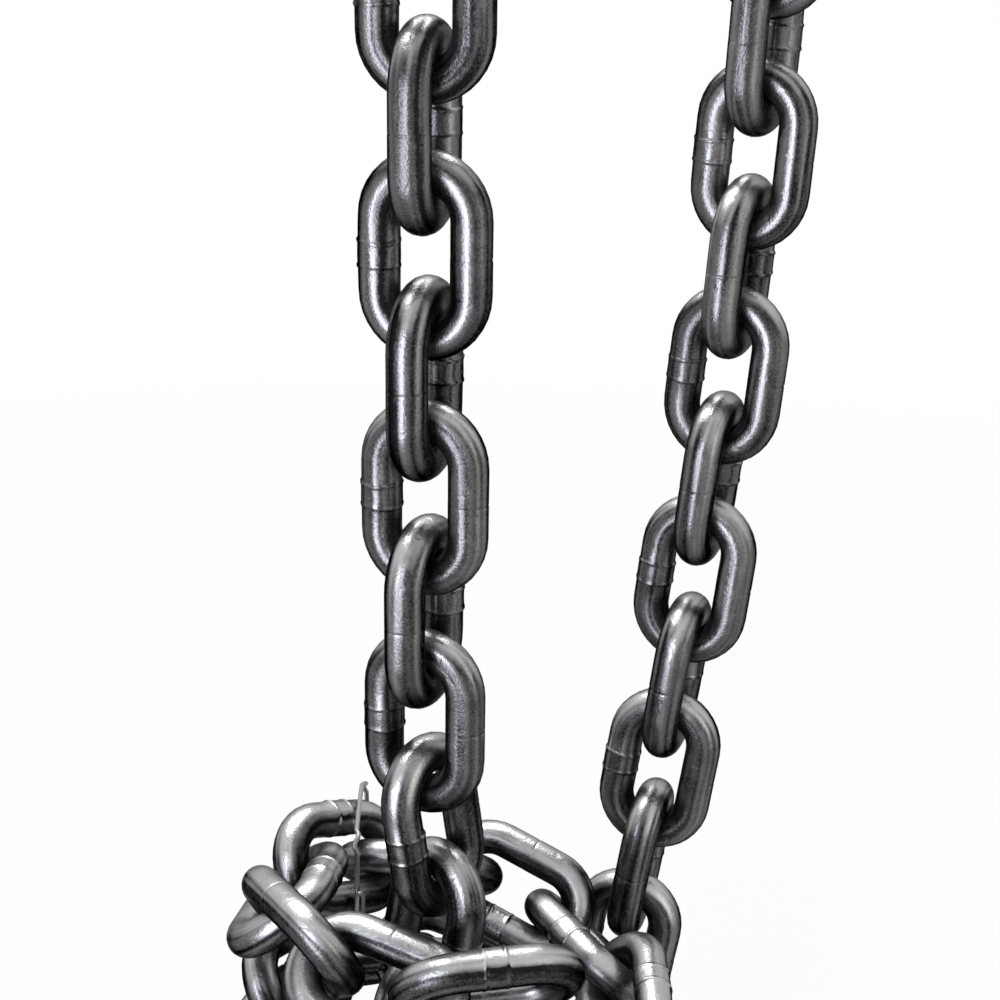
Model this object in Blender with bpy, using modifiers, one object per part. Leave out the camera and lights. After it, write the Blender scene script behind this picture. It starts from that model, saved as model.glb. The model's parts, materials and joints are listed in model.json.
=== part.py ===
"""Chain sling leg, hung up in two runs with the rest of its chain wired into a heap.

Units are metres and +Z is up. +X runs to the right of the photographed view and +Y leads away
from it. The origin is the seat at the top of the master link, where the sling hangs.
Run it with blender --background --python part.py, or from the text editor.
"""

from collections import namedtuple
from math import atan2, copysign, cos, pi, radians, sin, sqrt

import bmesh
import bpy
from mathutils import Matrix, Vector

# Welded chain link. The inside length is the pitch of the chain.
BAR = 0.0130
INSIDE_LENGTH = 0.0390
INSIDE_WIDTH = 0.0166
WELD_LENGTH = 0.0075
WELD_SWELL = 0.0005
SEAT_GAP = 0.0003
SLACK_PLAY = 0.0009

# Master link and the joining link that carries the chain.
MASTER_BAR = 0.022
MASTER_INSIDE_LENGTH = 0.160
MASTER_INSIDE_WIDTH = 0.090
JOINING_BAR = 0.015
JOINING_INSIDE_LENGTH = 0.070
JOINING_INSIDE_WIDTH = 0.027

# Left run: straight down from the master link. The roll turns each link about the run.
LEFT_LINKS = 10
LEFT_ROLL = radians(-13.2)
LEFT_ROLL_STEP = radians(-1.7)
# The last two links lie loose against the heap, so they roll and lean by their own amounts.
LOOSE_ROLLS = (radians(53), radians(131))
LOOSE_LEANS = (radians(8), radians(-9))

# Right run: hangs from the hook and is drawn over to the heap, a little more with each link.
RIGHT_LINKS = 14
RIGHT_PLACE_X = 0.113
RIGHT_PLACE_Y = 0.082
RIGHT_ROLL = radians(-36.8)
RIGHT_ROLL_STEP = radians(1.6)
RIGHT_LEAN_STEP = radians(0.79)
RIGHT_PLUMB_LINKS = 2

# Heap: the chain drops inside the coil, then each turn lies on the one below. A link keeps square
# to the one before more than it keeps its tilt, by the factor given as its squareness.
HEAP_LINKS = 23
HEAP_RADIUS = 0.065
HEAP_NARROWING = 0.001
HEAP_SLOPE = 0.2
HEAP_CENTRE_X = 0.010
HEAP_CENTRE_Y = 0.0168
HEAP_START = radians(120)
HEAP_DROP = 0.058
HEAP_LAYER_GAP = 0.009
HEAP_TILT = radians(49)
HEAP_SQUARENESS = 2.0
HEAP_WALK_STEPS = 500

# Clevis sling hook, hung upside down. The reach goes from the load pin to the seat in the bowl.
HOOK_REACH = 0.142
BOWL_RADIUS = 0.020
BOWL_BODY = 0.030
SHANK_BODY = 0.023
TIP_BODY = 0.015
TIP_LENGTH = 0.036
TIP_FLARE = 0.002
HOOK_FLATTEN = 0.86
CLEVIS_SLOT = 0.015
CLEVIS_EAR = 0.010
CLEVIS_DEPTH = 0.025
CLEVIS_ROOF_GAP = 0.0014
CLEVIS_NECK = 0.036
EAR_WALL = 0.006
CLEVIS_ROUND = 0.002
LOAD_PIN_DIAMETER = 0.0155
LOAD_PIN_OVERHANG = 0.0025
PIN_CLEARANCE = 0.0003

# Latch, bent from sheet, with a pin through a thinned lug in the shank and a spring beside it.
LATCH_LEVEL = 0.078
LATCH_END_LEVEL = 0.091
LATCH_HEIGHT = 0.012
LATCH_SHEET = 0.0025
LATCH_WEB_START = 0.017
LATCH_CLEARANCE = 0.0006
LATCH_PIN_DIAMETER = 0.006
LATCH_PIN_OVERHANG = 0.0012
LUG_THICKNESS = 0.011
LUG_RADIUS = 0.011
SPRING_WIRE = 0.0011
SPRING_TURNS = 3
SPRING_PITCH = 0.0014
SPRING_LEG = 0.007

# Binding wire around two links at the left of the heap. Its ends pass each other side by side.
WIRE = 0.0018
WIRE_SLACK = 0.0003
WIRE_CORNER = 0.006
WIRE_TAIL = 0.016
WIRE_LINKS = (17, 18)

# Straight steps in each half round, and Blender's resolution around bars, pins and wires.
ARC_STEPS = 6
BIG_ARC_STEPS = 10
TIP_STEPS = 3
WIRE_CORNER_STEPS = 4
BAR_RESOLUTION = 2
BIG_RESOLUTION = 4
PIN_RESOLUTION = 6
WIRE_RESOLUTION = 1

# Points of a mesh that lie this near to each other are one point.
MERGE_DISTANCE = 0.00001

# Colour and roughness of each finish.
CHAIN_FINISH = ((0.085, 0.078, 0.072, 1.0), 0.38)
FORGED_FINISH = ((0.070, 0.066, 0.064, 1.0), 0.5)
PIN_FINISH = ((0.200, 0.195, 0.190, 1.0), 0.35)
LATCH_FINISH = ((0.300, 0.290, 0.270, 1.0), 0.4)
WIRE_FINISH = ((0.160, 0.120, 0.090, 1.0), 0.5)

UP = Vector((0.0, 0.0, 1.0))
DOWN = -UP

# Bar that a piece hangs on: its middle, its direction and its thickness.
Seat = namedtuple("Seat", "middle along bar")
# Size of a round link.
LinkSize = namedtuple("LinkSize", "bar length width")
# Link that has been placed: its matrix, the pivot that it swings about and the seat it offers.
Hung = namedtuple("Hung", "matrix pivot seat")

CHAIN = LinkSize(BAR, INSIDE_LENGTH, INSIDE_WIDTH)
JOINING = LinkSize(JOINING_BAR, JOINING_INSIDE_LENGTH, JOINING_INSIDE_WIDTH)
MASTER = LinkSize(MASTER_BAR, MASTER_INSIDE_LENGTH, MASTER_INSIDE_WIDTH)

# Radius of a chain link's bends, at the middle of the bar, and the straight between them.
CHAIN_BEND = (CHAIN.width + CHAIN.bar) / 2
CHAIN_STRAIGHT = CHAIN.length + CHAIN.bar - 2 * CHAIN_BEND
# Distance between the bend centres of two slack links, which leaves a little play at any angle.
SLACK_REACH = 2 * CHAIN_BEND - CHAIN.bar - SLACK_PLAY

# Level of the bowl's centre above the load pin, and radius of the hook's middle line around it.
BOWL_LEVEL = HOOK_REACH - BOWL_RADIUS
HOOK_TURN = BOWL_RADIUS + BOWL_BODY / 2


def flat(angle):
    """Level direction at an angle from +X."""
    return Vector((cos(angle), sin(angle), 0.0))


def link_frame(middle, down, across):
    """Matrix with local Z up the chain and local X across the link."""
    z_axis = -down.normalized()
    x_axis = (across - z_axis * across.dot(z_axis)).normalized()
    y_axis = z_axis.cross(x_axis)
    matrix = Matrix((x_axis, y_axis, z_axis)).transposed().to_4x4()
    matrix.translation = middle
    return matrix


def hang(hanger, down, across, size):
    """Place a link that pulls straight on the hanger, with the seat gap between the bars."""
    down = down.normalized()
    across = (across - down * across.dot(down)).normalized()
    lift = hanger.along.cross(across).normalized()
    if lift.dot(down) > 0.0:
        lift = -lift
    upper = hanger.middle + lift * (hanger.bar / 2 + size.bar / 2 + SEAT_GAP)
    span = size.length + size.bar
    matrix = link_frame(upper + down * span / 2, down, across)
    return Hung(matrix, hanger.middle, Seat(upper + down * span, across, size.bar))


def lower_bend(matrix):
    """Centre of the lower bend of a chain link."""
    return matrix @ Vector((0.0, 0.0, -CHAIN_STRAIGHT / 2))


def lay(upper, down, across):
    """Place a slack chain link, with each of the two bars near the centre of the other's bend."""
    down = down.normalized()
    frame = link_frame(Vector(), down, across)
    along = upper.matrix.col[1].xyz.cross(frame.col[1].xyz).normalized()
    if along.dot(down - upper.matrix.col[2].xyz) < 0.0:
        along = -along
    upper_bend = lower_bend(upper.matrix) + along * SLACK_REACH
    frame.translation = upper_bend + down * CHAIN_STRAIGHT / 2
    foot = upper_bend + down * (CHAIN_STRAIGHT + CHAIN_BEND)
    return Hung(frame, upper_bend, Seat(foot, frame.col[0].xyz, CHAIN.bar))


def left_run():
    """Master link, joining link and the links of the left run, from the top down."""
    rolls = [LEFT_ROLL + LEFT_ROLL_STEP * i - pi / 2 * (1 - i % 2) for i in range(-2, LEFT_LINKS)]
    leans = [0.0] * len(rolls)
    rolls[-2:] = LOOSE_ROLLS
    leans[-2:] = LOOSE_LEANS
    span = MASTER.length + MASTER.bar
    upper = UP * MASTER.bar / 2
    master_across = flat(rolls[0])
    master = Hung(
        link_frame(upper + DOWN * span / 2, DOWN, master_across),
        None,
        Seat(upper + DOWN * span, master_across, MASTER.bar),
    )
    placed = [master]
    for roll, lean, size in zip(rolls[1:], leans[1:], [JOINING] + [CHAIN] * LEFT_LINKS):
        down = Vector((sin(lean), 0.0, -cos(lean)))
        if lean:
            placed.append(lay(placed[-1], down, flat(roll)))
        else:
            placed.append(hang(placed[-1].seat, down, flat(roll), size))
    return placed


def load_pin_seat():
    """Load pin of the hook, which the right run hangs on."""
    middle = Vector((RIGHT_PLACE_X, RIGHT_PLACE_Y, -HOOK_REACH))
    return Seat(middle, flat(RIGHT_ROLL), LOAD_PIN_DIAMETER)


def right_run():
    """Links of the right run, from the load pin down."""
    placed = []
    seat = load_pin_seat()
    for i in range(RIGHT_LINKS):
        roll = RIGHT_ROLL + RIGHT_ROLL_STEP * i - pi / 2 * (1 - i % 2)
        lean = RIGHT_LEAN_STEP * max(0, i + 1 - RIGHT_PLUMB_LINKS)
        down = Vector((-sin(lean), 0.0, -cos(lean)))
        placed.append(hang(seat, down, flat(roll), CHAIN))
        seat = placed[-1].seat
    return placed


def heap_point(turns, base):
    """Point on the route of the heaped chain, after a number of turns from its start."""
    angle = HEAP_START - 2 * pi * turns
    radius = HEAP_RADIUS - HEAP_NARROWING * turns ** 3
    across = radius * sin(angle)
    strand = (CHAIN.width + CHAIN.bar) * sin(HEAP_TILT) + CHAIN.bar
    level = base + (strand + HEAP_LAYER_GAP) * turns - HEAP_SLOPE * across
    return Vector((HEAP_CENTRE_X + across, HEAP_CENTRE_Y + radius * cos(angle), level))


def heap(last):
    """Links of the heap, walked along its route from the last link of the left run."""
    base = last.seat.middle.z - HEAP_DROP
    target = last.seat.middle + DOWN * HEAP_DROP
    placed = [last]
    turns = 0.0
    for _ in range(HEAP_LINKS):
        upper = placed[-1].matrix
        square = upper.col[1].xyz
        outward = Vector((target.x - HEAP_CENTRE_X, target.y - HEAP_CENTRE_Y, 0.0)).normalized()
        tilted = outward * copysign(cos(HEAP_TILT), square.dot(outward))
        tilted += UP * copysign(sin(HEAP_TILT), square.z)
        placed.append(lay(placed[-1], target - lower_bend(upper), square * HEAP_SQUARENESS + tilted))
        start = lower_bend(placed[-1].matrix)
        while (heap_point(turns, base) - start).length < CHAIN.length + CHAIN.bar:
            turns += 1 / HEAP_WALK_STEPS
        target = heap_point(turns, base)
    return placed[1:]


def steel(name, finish):
    """Bare steel in one of the finishes of the sling."""
    colour, roughness = finish
    made = bpy.data.materials.new(name)
    made.use_nodes = True
    shader = made.node_tree.nodes["Principled BSDF"]
    shader.inputs["Base Color"].default_value = colour
    shader.inputs["Roughness"].default_value = roughness
    shader.inputs["Metallic"].default_value = 1.0
    return made


def tube(name, points, thickness, resolution, cyclic=False):
    """Curve with a round section. Each point is its place and a factor on the thickness."""
    curve = bpy.data.curves.new(name, "CURVE")
    curve.dimensions = "3D"
    curve.bevel_depth = thickness / 2
    curve.bevel_resolution = resolution
    curve.use_fill_caps = True
    spline = curve.splines.new("POLY")
    spline.use_cyclic_u = cyclic
    spline.points.add(len(points) - 1)
    for made, (place, factor) in zip(spline.points, points):
        made.co = (*place, 1.0)
        made.radius = factor
    return curve


def rod(name, direction, length, diameter):
    """Straight round rod with its middle at the origin."""
    half = direction * length / 2
    return tube(name, [(-half, 1.0), (half, 1.0)], diameter, PIN_RESOLUTION)


def plate(name, outline, thickness):
    """Flat outline, given in X and Z and thickened evenly along Y, as a mesh."""
    curve = bpy.data.curves.new(name, "CURVE")
    curve.dimensions = "2D"
    curve.fill_mode = "BOTH"
    curve.extrude = thickness / 2
    spline = curve.splines.new("POLY")
    spline.use_cyclic_u = True
    spline.points.add(len(outline) - 1)
    for made, (x, z) in zip(spline.points, outline):
        made.co = (x, z, 0.0, 1.0)
    mesh = meshed(curve)
    mesh.transform(Matrix.Rotation(pi / 2, 4, "X"))
    return mesh


def meshed(curve):
    """Mesh made from a curve, with doubled points merged and faces turned outward."""
    maker = bpy.data.objects.new(curve.name, curve)
    bpy.context.scene.collection.objects.link(maker)
    depsgraph = bpy.context.evaluated_depsgraph_get()
    mesh = bpy.data.meshes.new_from_object(maker.evaluated_get(depsgraph))
    bpy.data.objects.remove(maker)
    shape = bmesh.new()
    shape.from_mesh(mesh)
    bmesh.ops.remove_doubles(shape, verts=shape.verts, dist=MERGE_DISTANCE)
    bmesh.ops.recalc_face_normals(shape, faces=shape.faces)
    shape.to_mesh(mesh)
    shape.free()
    return mesh


def link_path(size, steps=ARC_STEPS, swell=0.0):
    """Middle line of a link's bar, with the weld as two thicker places on one side."""
    bend = (size.width + size.bar) / 2
    straight = size.length + size.bar - 2 * bend
    thicker = 1.0 + 2 * swell / size.bar
    path = []
    for end in (1, -1):
        for step in range(steps + 1):
            angle = pi * step / steps
            height = straight / 2 + bend * sin(angle)
            path.append((Vector((end * bend * cos(angle), 0.0, end * height)), 1.0))
        if end == 1 and swell:
            path.append((Vector((-bend, 0.0, WELD_LENGTH / 2)), thicker))
            path.append((Vector((-bend, 0.0, -WELD_LENGTH / 2)), thicker))
    return path


def shank_side(part):
    """Sideways place of the shank's middle, from the clevis at 0 to the bowl at 1."""
    return -HOOK_TURN * (1 - cos(pi * part)) / 2


def hook_line():
    """Middle line of the hook from the clevis around the bowl to the tip, and its thickness."""
    line = []
    for step in range(ARC_STEPS):
        part = step / ARC_STEPS
        body = SHANK_BODY + (BOWL_BODY - SHANK_BODY) * part ** 2
        level = CLEVIS_NECK + (BOWL_LEVEL - CLEVIS_NECK) * part
        line.append((Vector((shank_side(part), 0.0, level)), body))
    for step in range(2 * ARC_STEPS + 1):
        part = step / (2 * ARC_STEPS)
        angle = pi * (1 - part)
        body = BOWL_BODY + (TIP_BODY - BOWL_BODY) * part ** 3 / 2
        level = BOWL_LEVEL + HOOK_TURN * sin(angle)
        line.append((Vector((HOOK_TURN * cos(angle), 0.0, level)), body))
    start, body = line[-1]
    for step in range(1, TIP_STEPS + 1):
        part = step / TIP_STEPS
        place = start + Vector((TIP_FLARE, 0.0, -TIP_LENGTH)) * part
        line.append((place, body + (TIP_BODY - body) * part))
    line.append((place + DOWN * TIP_BODY / 4, TIP_BODY / 2))
    return line


def tip_side(level):
    """Inner side of the hook's tip at a level above the load pin."""
    (low, low_body), (high, high_body) = hook_line()[-2], hook_line()[-2 - TIP_STEPS]
    part = (level - low.z) / (high.z - low.z)
    return low.x + (high.x - low.x) * part - (low_body + (high_body - low_body) * part) / 2


def clevis_outline():
    """Outline of the clevis: two ears beside the slot for the chain, and the neck above."""
    inner = CLEVIS_SLOT / 2
    outer = inner + CLEVIS_EAR
    roof = LOAD_PIN_DIAMETER / 2 + BAR + SEAT_GAP + CLEVIS_ROOF_GAP
    foot = -LOAD_PIN_DIAMETER / 2 - EAR_WALL
    top = CLEVIS_NECK + CLEVIS_ROUND
    neck = SHANK_BODY / 2 + CLEVIS_ROUND
    shoulder = (roof + top) / 2
    right = [(inner, roof), (inner, foot), (outer, foot), (outer, shoulder), (neck, top)]
    return right + [(-x, z) for x, z in reversed(right)]


def latch_pivot():
    """Place of the latch pin in the hook's own frame."""
    part = (LATCH_LEVEL - CLEVIS_NECK) / (BOWL_LEVEL - CLEVIS_NECK)
    return Vector((shank_side(part), 0.0, LATCH_LEVEL))


def latch_outlines():
    """Outlines of the latch and of its hollow, with the latch pin at the origin.

    The web of the closed latch meets the inner side of the tip.
    """
    half = LATCH_HEIGHT / 2
    under_web = half - LATCH_SHEET
    pivot = latch_pivot()
    run = tip_side(LATCH_END_LEVEL) - LATCH_CLEARANCE - pivot.x
    rise = LATCH_END_LEVEL - pivot.z
    length = sqrt(run ** 2 + rise ** 2 - under_web ** 2)
    turn = Matrix.Rotation(atan2(rise, run) - atan2(under_web, length), 2)
    outer = [(length, -half), (length, half)]
    for step in range(ARC_STEPS + 1):
        angle = pi / 2 + pi * step / ARC_STEPS
        outer.append((half * cos(angle), half * sin(angle)))
    past = length + LATCH_HEIGHT
    hollow = [
        (-past, -LATCH_HEIGHT),
        (past, -LATCH_HEIGHT),
        (past, under_web),
        (LATCH_WEB_START, under_web),
        (LATCH_WEB_START, LATCH_HEIGHT),
        (-past, LATCH_HEIGHT),
    ]
    return [turn @ Vector(point) for point in outer], [turn @ Vector(point) for point in hollow]


def spring_path():
    """Coil of the latch spring around the latch pin, with a straight leg at each end."""
    radius = LATCH_PIN_DIAMETER / 2 + PIN_CLEARANCE + SPRING_WIRE / 2
    start = LUG_THICKNESS / 2 + PIN_CLEARANCE + SPRING_WIRE / 2
    count = SPRING_TURNS * 2 * ARC_STEPS
    path = []
    for step in range(count + 1):
        angle = pi * step / ARC_STEPS
        side = start + SPRING_PITCH * step * SPRING_TURNS / count
        path.append((Vector((radius * cos(angle), side, radius * sin(angle))), 1.0))
    leg = Vector((0.0, 0.0, SPRING_LEG))
    first, last = path[0][0], path[-1][0]
    return [(first - leg, 1.0)] + path + [(last + leg, 1.0)]


def wire_path(links):
    """Loop of wire around two heap links, with its two ends standing out in front.

    It lies at the bend of the later link, where the earlier one passes through it.
    """
    touch = (BAR + WIRE) / 2 + WELD_SWELL
    side = links[-1].pivot.x
    passing = []
    for link in links:
        path = [link.matrix @ place for place, _ in link_path(CHAIN)]
        for start, end in zip(path, path[1:] + path[:1]):
            passing += [start.lerp(end, step / ARC_STEPS) for step in range(ARC_STEPS)]
    # Each point of a bar's middle line, with how far the wire must keep from it in its own plane.
    kept = [(point, sqrt(max(0.0, touch ** 2 - (point.x - side) ** 2))) for point in passing]
    kept = [(point, reach) for point, reach in kept if reach]
    front = min(point.y - reach for point, reach in kept)
    back = max(point.y + reach for point, reach in kept)
    bottom = min(point.z - reach for point, reach in kept)
    top = max(point.z + reach for point, reach in kept)
    middle = (bottom + top) / 2
    loop = [(front - WIRE_TAIL / 2, middle - WIRE_TAIL), (front, middle)]
    corners = ((front, top, pi), (back, top, pi / 2), (back, bottom, 0.0), (front, bottom, -pi / 2))
    for y, z, begin in corners:
        y += copysign(WIRE_CORNER, front + back - 2 * y)
        z += copysign(WIRE_CORNER, bottom + top - 2 * z)
        for step in range(WIRE_CORNER_STEPS + 1):
            angle = begin - pi / 2 * step / WIRE_CORNER_STEPS
            loop.append((y + WIRE_CORNER * cos(angle), z + WIRE_CORNER * sin(angle)))
    loop += [(front, middle), (front - WIRE_TAIL, middle + WIRE_TAIL / 2)]
    path = []
    for step, (y, z) in enumerate(loop):
        shift = (WIRE + WIRE_SLACK) * (step / (len(loop) - 1) - 0.5)
        path.append((Vector((side + shift, y, z)), 1.0))
    return path


def collection(name):
    """New collection in the scene."""
    made = bpy.data.collections.new(name)
    bpy.context.scene.collection.children.link(made)
    return made


def place(name, data, group, matrix, finish, pivot=None):
    """Object for one piece, with its material. A moving piece hangs on an empty at its pivot."""
    made = bpy.data.objects.new(name, data)
    group.objects.link(made)
    if not data.materials:
        data.materials.append(finish)
    if pivot:
        made.parent = pivot
        matrix = Matrix.Translation(-pivot.location) @ matrix
    made.matrix_basis = matrix
    return made


def pivot_at(name, group, point):
    """Empty on a joint's axis."""
    made = bpy.data.objects.new(name, None)
    group.objects.link(made)
    made.location = point
    made.empty_display_size = BAR
    return made


def shape_with(target, name, data, group, matrix, operation):
    """Join a helper shape to a piece, or cut it away. The helper itself is not a piece."""
    helper = bpy.data.objects.new(name, data)
    group.objects.link(helper)
    helper.matrix_basis = matrix
    helper.hide_render = True
    helper.display_type = "WIRE"
    change = target.modifiers.new(name, "BOOLEAN")
    change.operation = operation
    change.object = helper
    change.solver = "EXACT"


def add_chain(sling, finish):
    """Master link, joining link, both runs and the heap with its wire."""
    left = left_run()
    right = right_run()
    heaped = heap(left[-1])
    welded = link_path(CHAIN, swell=WELD_SWELL)
    link = tube("chain_link", welded, BAR, BAR_RESOLUTION, cyclic=True)
    path = link_path(MASTER, BIG_ARC_STEPS)
    master = tube("master_link", path, MASTER.bar, BIG_RESOLUTION, cyclic=True)
    path = link_path(JOINING, BIG_ARC_STEPS)
    joining = tube("joining_link", path, JOINING.bar, BIG_RESOLUTION, cyclic=True)
    place("master_link", master, sling, left[0].matrix, finish["forged"])
    pivot = pivot_at("joining_link_pivot", sling, left[1].pivot)
    place("joining_link", joining, sling, left[1].matrix, finish["forged"], pivot)
    for side, run in (("right", right), ("left", left[2:])):
        for number, hung in enumerate(run, 1):
            name = f"{side}_link_{number:02d}"
            pivot = pivot_at(name + "_pivot", sling, hung.pivot)
            place(name, link, sling, hung.matrix, finish["chain"], pivot)
    # The heap swings with the last link of the left run, so it hangs on that link's pivot.
    for number, hung in enumerate(heaped, 1):
        place(f"heap_link_{number:02d}", link, sling, hung.matrix, finish["chain"], pivot)
    tied = [heaped[index] for index in WIRE_LINKS]
    wire = tube("binding_wire", wire_path(tied), WIRE, WIRE_RESOLUTION)
    place("binding_wire", wire, sling, Matrix(), finish["wire"], pivot)


def add_hook(sling, helpers, finish):
    """Hook body, load pin, latch, latch pin and latch spring."""
    frame = Matrix.Translation(load_pin_seat().middle) @ Matrix.Rotation(RIGHT_ROLL, 4, "Z")
    latch_frame = frame @ Matrix.Translation(latch_pivot())
    along_x = Vector((1.0, 0.0, 0.0))
    along_y = Vector((0.0, 1.0, 0.0))

    body = place("hook_body", plate("hook_body", clevis_outline(), CLEVIS_DEPTH), sling, frame,
                 finish["forged"])
    rounding = body.modifiers.new("clevis_rounding", "BEVEL")
    rounding.width = CLEVIS_ROUND
    rounding.segments = 2
    line = [(point, thickness / BOWL_BODY) for point, thickness in hook_line()]
    bar = meshed(tube("hook_bar", line, BOWL_BODY, PIN_RESOLUTION))
    bar.transform(Matrix.Diagonal((1.0, HOOK_FLATTEN, 1.0, 1.0)))
    shape_with(body, "hook_bar", bar, helpers, frame, "UNION")

    width = CLEVIS_SLOT + 2 * CLEVIS_EAR + 2 * LOAD_PIN_OVERHANG
    pin = rod("load_pin", along_x, width, LOAD_PIN_DIAMETER)
    place("load_pin", pin, sling, frame, finish["pin"])
    hole = meshed(rod("load_pin_hole", along_x, 2 * width, LOAD_PIN_DIAMETER + 2 * PIN_CLEARANCE))
    shape_with(body, "load_pin_hole", hole, helpers, frame, "DIFFERENCE")

    inner = BOWL_BODY * HOOK_FLATTEN + 2 * LATCH_CLEARANCE
    outer = inner + 2 * LATCH_SHEET
    for side in (1, -1):
        name = f"lug_face_{'front' if side < 0 else 'back'}"
        face = meshed(rod(name, along_y, BOWL_BODY, 2 * LUG_RADIUS))
        offset = Matrix.Translation(along_y * side * (BOWL_BODY + LUG_THICKNESS) / 2)
        shape_with(body, name, face, helpers, latch_frame @ offset, "DIFFERENCE")
    hole_size = LATCH_PIN_DIAMETER + 2 * PIN_CLEARANCE
    hole = meshed(rod("latch_pin_hole", along_y, 2 * outer, hole_size))
    shape_with(body, "latch_pin_hole", hole, helpers, latch_frame, "DIFFERENCE")

    outline, hollow = latch_outlines()
    latch = place("latch", plate("latch", outline, outer), sling, latch_frame, finish["latch"])
    hollow = plate("latch_hollow", hollow, inner)
    shape_with(latch, "latch_hollow", hollow, helpers, latch_frame, "DIFFERENCE")
    shape_with(latch, "latch_hole", hole, helpers, latch_frame, "DIFFERENCE")
    pin = rod("latch_pin", along_y, outer + 2 * LATCH_PIN_OVERHANG, LATCH_PIN_DIAMETER)
    place("latch_pin", pin, sling, latch_frame, finish["pin"])
    spring = tube("latch_spring", spring_path(), SPRING_WIRE, WIRE_RESOLUTION)
    place("latch_spring", spring, sling, latch_frame, finish["wire"])


def main():
    """Clear the scene and build the sling."""
    for old in list(bpy.data.objects):
        bpy.data.objects.remove(old)
    finish = {
        "chain": steel("chain_steel", CHAIN_FINISH),
        "forged": steel("forged_steel", FORGED_FINISH),
        "pin": steel("pin_steel", PIN_FINISH),
        "latch": steel("latch_steel", LATCH_FINISH),
        "wire": steel("wire_steel", WIRE_FINISH),
    }
    sling = collection("chain_sling")
    helpers = collection("helper_shapes")
    add_chain(sling, finish)
    add_hook(sling, helpers, finish)


if __name__ == "__main__":
    main()
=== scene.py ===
"""Hung chain sling leg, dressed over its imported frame.

Smooth welded links, forged end pieces and bent wire take the place of the frame's plain solids.
The script is laid out as an add-on but runs by itself. Lengths are metres, +Z is up and the view
is along +Y.
"""

import json
from math import atan2, copysign, cos, exp, pi, radians, sin

import bmesh
import bpy
import numpy as np
from bpy.props import FloatProperty, FloatVectorProperty, PointerProperty
from mathutils import Euler, Matrix, Vector

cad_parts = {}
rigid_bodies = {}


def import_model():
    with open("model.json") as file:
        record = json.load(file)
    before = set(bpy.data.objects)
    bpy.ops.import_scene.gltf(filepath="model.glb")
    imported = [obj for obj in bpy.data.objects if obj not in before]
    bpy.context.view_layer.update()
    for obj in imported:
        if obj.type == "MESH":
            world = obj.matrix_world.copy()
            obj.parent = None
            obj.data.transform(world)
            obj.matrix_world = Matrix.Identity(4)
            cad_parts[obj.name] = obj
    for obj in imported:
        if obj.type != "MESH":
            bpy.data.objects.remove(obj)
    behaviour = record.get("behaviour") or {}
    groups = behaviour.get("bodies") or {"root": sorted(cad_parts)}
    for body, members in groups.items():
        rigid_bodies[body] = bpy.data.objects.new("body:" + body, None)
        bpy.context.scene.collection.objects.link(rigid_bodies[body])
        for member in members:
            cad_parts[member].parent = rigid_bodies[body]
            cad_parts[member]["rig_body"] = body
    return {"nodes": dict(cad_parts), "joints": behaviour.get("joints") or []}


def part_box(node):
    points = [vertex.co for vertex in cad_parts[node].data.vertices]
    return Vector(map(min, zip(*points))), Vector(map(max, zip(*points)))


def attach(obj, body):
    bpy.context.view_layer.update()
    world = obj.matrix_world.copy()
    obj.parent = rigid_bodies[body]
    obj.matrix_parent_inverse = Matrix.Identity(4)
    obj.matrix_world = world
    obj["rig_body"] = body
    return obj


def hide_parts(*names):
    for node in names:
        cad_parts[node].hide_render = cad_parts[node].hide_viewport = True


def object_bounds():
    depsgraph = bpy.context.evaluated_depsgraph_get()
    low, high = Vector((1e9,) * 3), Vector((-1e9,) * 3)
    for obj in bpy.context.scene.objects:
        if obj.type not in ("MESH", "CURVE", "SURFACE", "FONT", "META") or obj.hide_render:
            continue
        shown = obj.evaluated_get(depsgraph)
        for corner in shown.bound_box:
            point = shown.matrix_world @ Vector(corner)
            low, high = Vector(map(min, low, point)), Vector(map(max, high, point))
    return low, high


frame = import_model()
CAD_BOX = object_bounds()

bl_info = {
    "name": "Hung Chain Sling Leg",
    "version": (1, 0, 0),
    "blender": (4, 5, 0),
    "location": "View3D > Sidebar > Chain Sling",
    "description": "Dresses a hung chain sling leg with welded links, forged ends, wire and stage",
    "category": "Add Mesh",
}

CHAIN_NODES = [name for name in sorted(frame["nodes"]) if "_link_" in name]

# Points around a bar, around the binding wire and around the spring's wire.
AROUND = 24
WIRE_AROUND = 12
SPRING_AROUND = 10
# Steps in each half round of a link.
BEND_STEPS = 18
# Chain links are made in this many slightly different shapes, so that no two neighbours match.
# The unevenness of each starts this many radians on from that of the one before.
LINK_SHAPES = 5
SHAPE_PHASE = 2.4
# Lines across the weld and across the crease, and how far apart they are.
WELD_LINES = 15
CREASE_LINES = 4
LINE_SPACING = 0.00032
# How much a bar's thickness wavers, and by how many radians from one ring of points to the next.
WAVER = 0.004
WAVER_PACE = 0.35
# The weld: how far its ends wander, how softly they fall off and how wide the bead on each is.
WELD_WANDER = 0.0003
WELD_FALL = 0.00035
BEAD_WIDTH = 0.0006
# Shares of the weld's swell in its collar and in its beads, and how uneven it is around the bar.
COLLAR_SHARE = 0.6
BEAD_SHARE = 0.9
WELD_UNEVEN = 0.25
# The crease on the far bar: its depth and width, and how far around it may lie, in radians.
CREASE_DEPTH = 0.00022
CREASE_WIDTH = 0.0004
CREASE_TURN = 0.6
# Steps along the hook, along its tip, along one turn of the spring and in each corner of the wire.
HOOK_STEPS = 48
TIP_STEPS = 8
SPRING_STEPS = 28
SPRING_TURNS = 3
CORNER_STEPS = 8
# Radians of the wire's wave from one end to the other.
WIRE_WAVES = 40
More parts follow.
